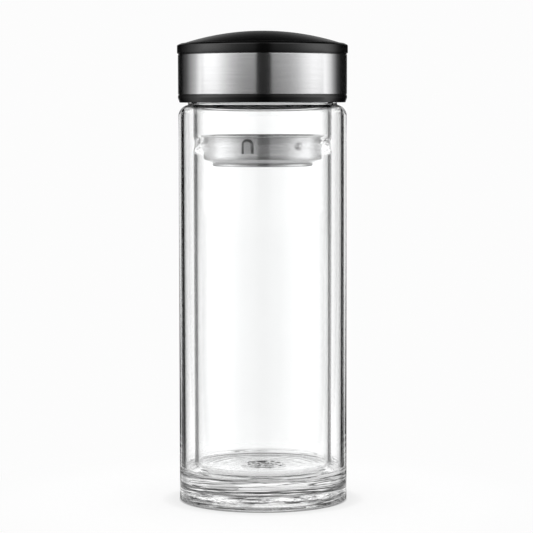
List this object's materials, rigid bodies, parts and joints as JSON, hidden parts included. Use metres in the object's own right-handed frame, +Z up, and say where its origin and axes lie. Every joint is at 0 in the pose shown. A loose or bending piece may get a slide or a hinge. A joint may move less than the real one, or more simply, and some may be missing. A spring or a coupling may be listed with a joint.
{
  "type": "infuser water bottle",
  "caption": "Clear double-wall glass tea bottle with a threaded steel-and-plastic cap and a steel infuser cup hung on a ridge inside the mouth.",
  "frame": {"origin": "centre of the ring that the bottle stands on", "axes": "+Z up along the bottle's axis, towards the cap; -Y is the pictured front"},
  "size_m": [0.0656, 0.0656, 0.1808],
  "materials": {
    "clear_glass": "clear polished borosilicate",
    "black_plastic": "moulded, semi-gloss",
    "brushed_steel": "brushed round the cap",
    "plate_steel": "fine spun finish",
    "infuser_steel": "satin",
    "silicone": "matt translucent white"
  },
  "bodies": {
    "bottle": {"glass_jacket": "clear_glass", "glass_liner": "clear_glass"},
    "seal": {"cap_gasket": "silicone"},
    "cap": {"cap_core": "black_plastic", "cap_band": "brushed_steel", "cap_rim": "black_plastic", "cap_dome": "black_plastic", "cap_inner_plate": "plate_steel"},
    "infuser": {"infuser_cup": "infuser_steel", "infuser_mesh": "infuser_steel", "infuser_mesh_ring": "infuser_steel"}
  },
  "joints": [
    {"name": "cap_lift", "type": "slide", "parent": "bottle", "child": "seal", "axis": [0, 0, 1], "range_m": [0, 0.01801]},
    {"name": "cap_turn", "type": "hinge", "parent": "seal", "child": "cap", "pos_m": [0, 0, 0.1531], "axis": [0, 0, 1], "range_deg": [0, 1080]},
    {"name": "infuser_lift", "type": "slide", "parent": "bottle", "child": "infuser", "axis": [0, 0, 1], "range_m": [0, 0.025]}
  ],
  "couplings": [
    {"joint": "cap_lift", "follows": "cap_turn", "m_per_rad": 0.00095493}
  ]
}
